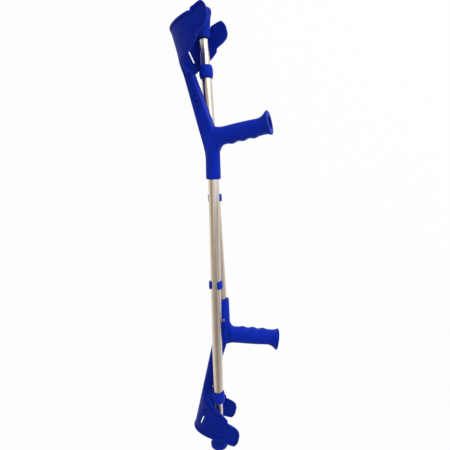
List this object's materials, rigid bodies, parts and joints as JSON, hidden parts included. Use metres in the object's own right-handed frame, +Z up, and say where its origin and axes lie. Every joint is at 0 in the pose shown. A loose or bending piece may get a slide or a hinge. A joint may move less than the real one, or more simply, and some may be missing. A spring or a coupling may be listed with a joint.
{
  "type": "forearm crutches",
  "caption": "Pair of adjustable forearm crutches lying head to tail: one-piece blue cuff, strut and grip, telescoping tubes with clip, collar and flared ferrule",
  "frame": {"origin": "centre of the bounding box on the flat surface that the pair lies on", "axes": "+Z up; +Y along the tubes, towards the cuff of crutch 1; +X the way both grips point"},
  "size_m": [0.208, 0.9474, 0.1386],
  "materials": {
    "blue_plastic": "fine satin grain",
    "blue_clip": "satin",
    "blue_collar": "satin",
    "blue_rubber": "matt",
    "anodised_tube": "satin anodised",
    "inner_tube_metal": "satin anodised",
    "pin_steel": "polished",
    "washer_steel": "plain",
    "brass_screw": "dull",
    "bush_plastic": "plain",
    "plug_plastic": "plain"
  },
  "bodies": {
    "crutch_1": {"upper_moulding_1": "blue_plastic", "outer_tube_1": "anodised_tube", "handle_screw_1": "brass_screw", "tube_bush_1": "bush_plastic", "clip_ring_1": "blue_clip", "clip_pin_1": "pin_steel"},
    "collar_1": {"lock_collar_1": "blue_collar"},
    "leg_1": {"inner_tube_1": "inner_tube_metal", "inner_tube_plug_1": "plug_plastic", "ferrule_1": "blue_rubber", "ferrule_washer_1": "washer_steel"},
    "crutch_2": {"upper_moulding_2": "blue_plastic", "outer_tube_2": "anodised_tube", "handle_screw_2": "brass_screw", "tube_bush_2": "bush_plastic"},
    "clip_2": {"clip_ring_2": "blue_clip", "clip_pin_2": "pin_steel"},
    "collar_2": {"lock_collar_2": "blue_collar"},
    "leg_2": {"inner_tube_2": "inner_tube_metal", "inner_tube_plug_2": "plug_plastic", "ferrule_2": "blue_rubber", "ferrule_washer_2": "washer_steel"}
  },
  "joints": [
    {"name": "leg_1_slide", "type": "slide", "parent": "crutch_1", "child": "leg_1", "axis": [-0.0236, -0.9997, 0.0115], "range_m": [0, 0.24]},
    {"name": "collar_1_turn", "type": "hinge", "parent": "crutch_1", "child": "collar_1", "pos_m": [-0.04244, -0.35205, 0.07129], "axis": [0.0236, 0.9997, -0.0115], "range_deg": [0, 120]},
    {"name": "crutch_2_shift", "type": "slide", "parent": "crutch_1", "child": "crutch_2", "axis": [0.0236, -0.9994, 0.0243], "range_m": [-0.03, 0.018]},
    {"name": "leg_2_slide", "type": "slide", "parent": "crutch_2", "child": "leg_2", "axis": [-0.0236, 0.9994, -0.0243], "range_m": [0, 0.24]},
    {"name": "collar_2_turn", "type": "hinge", "parent": "crutch_2", "child": "collar_2", "pos_m": [-0.03382, 0.35195, 0.03242], "axis": [0.0236, -0.9994, 0.0243], "range_deg": [0, 120]},
    {"name": "clip_2_pull", "type": "slide", "parent": "crutch_2", "child": "clip_2", "axis": [0.0769, -0.0224, -0.9968], "range_m": [0, 0.022], "deforming": ["clip_ring_2"]}
  ]
}
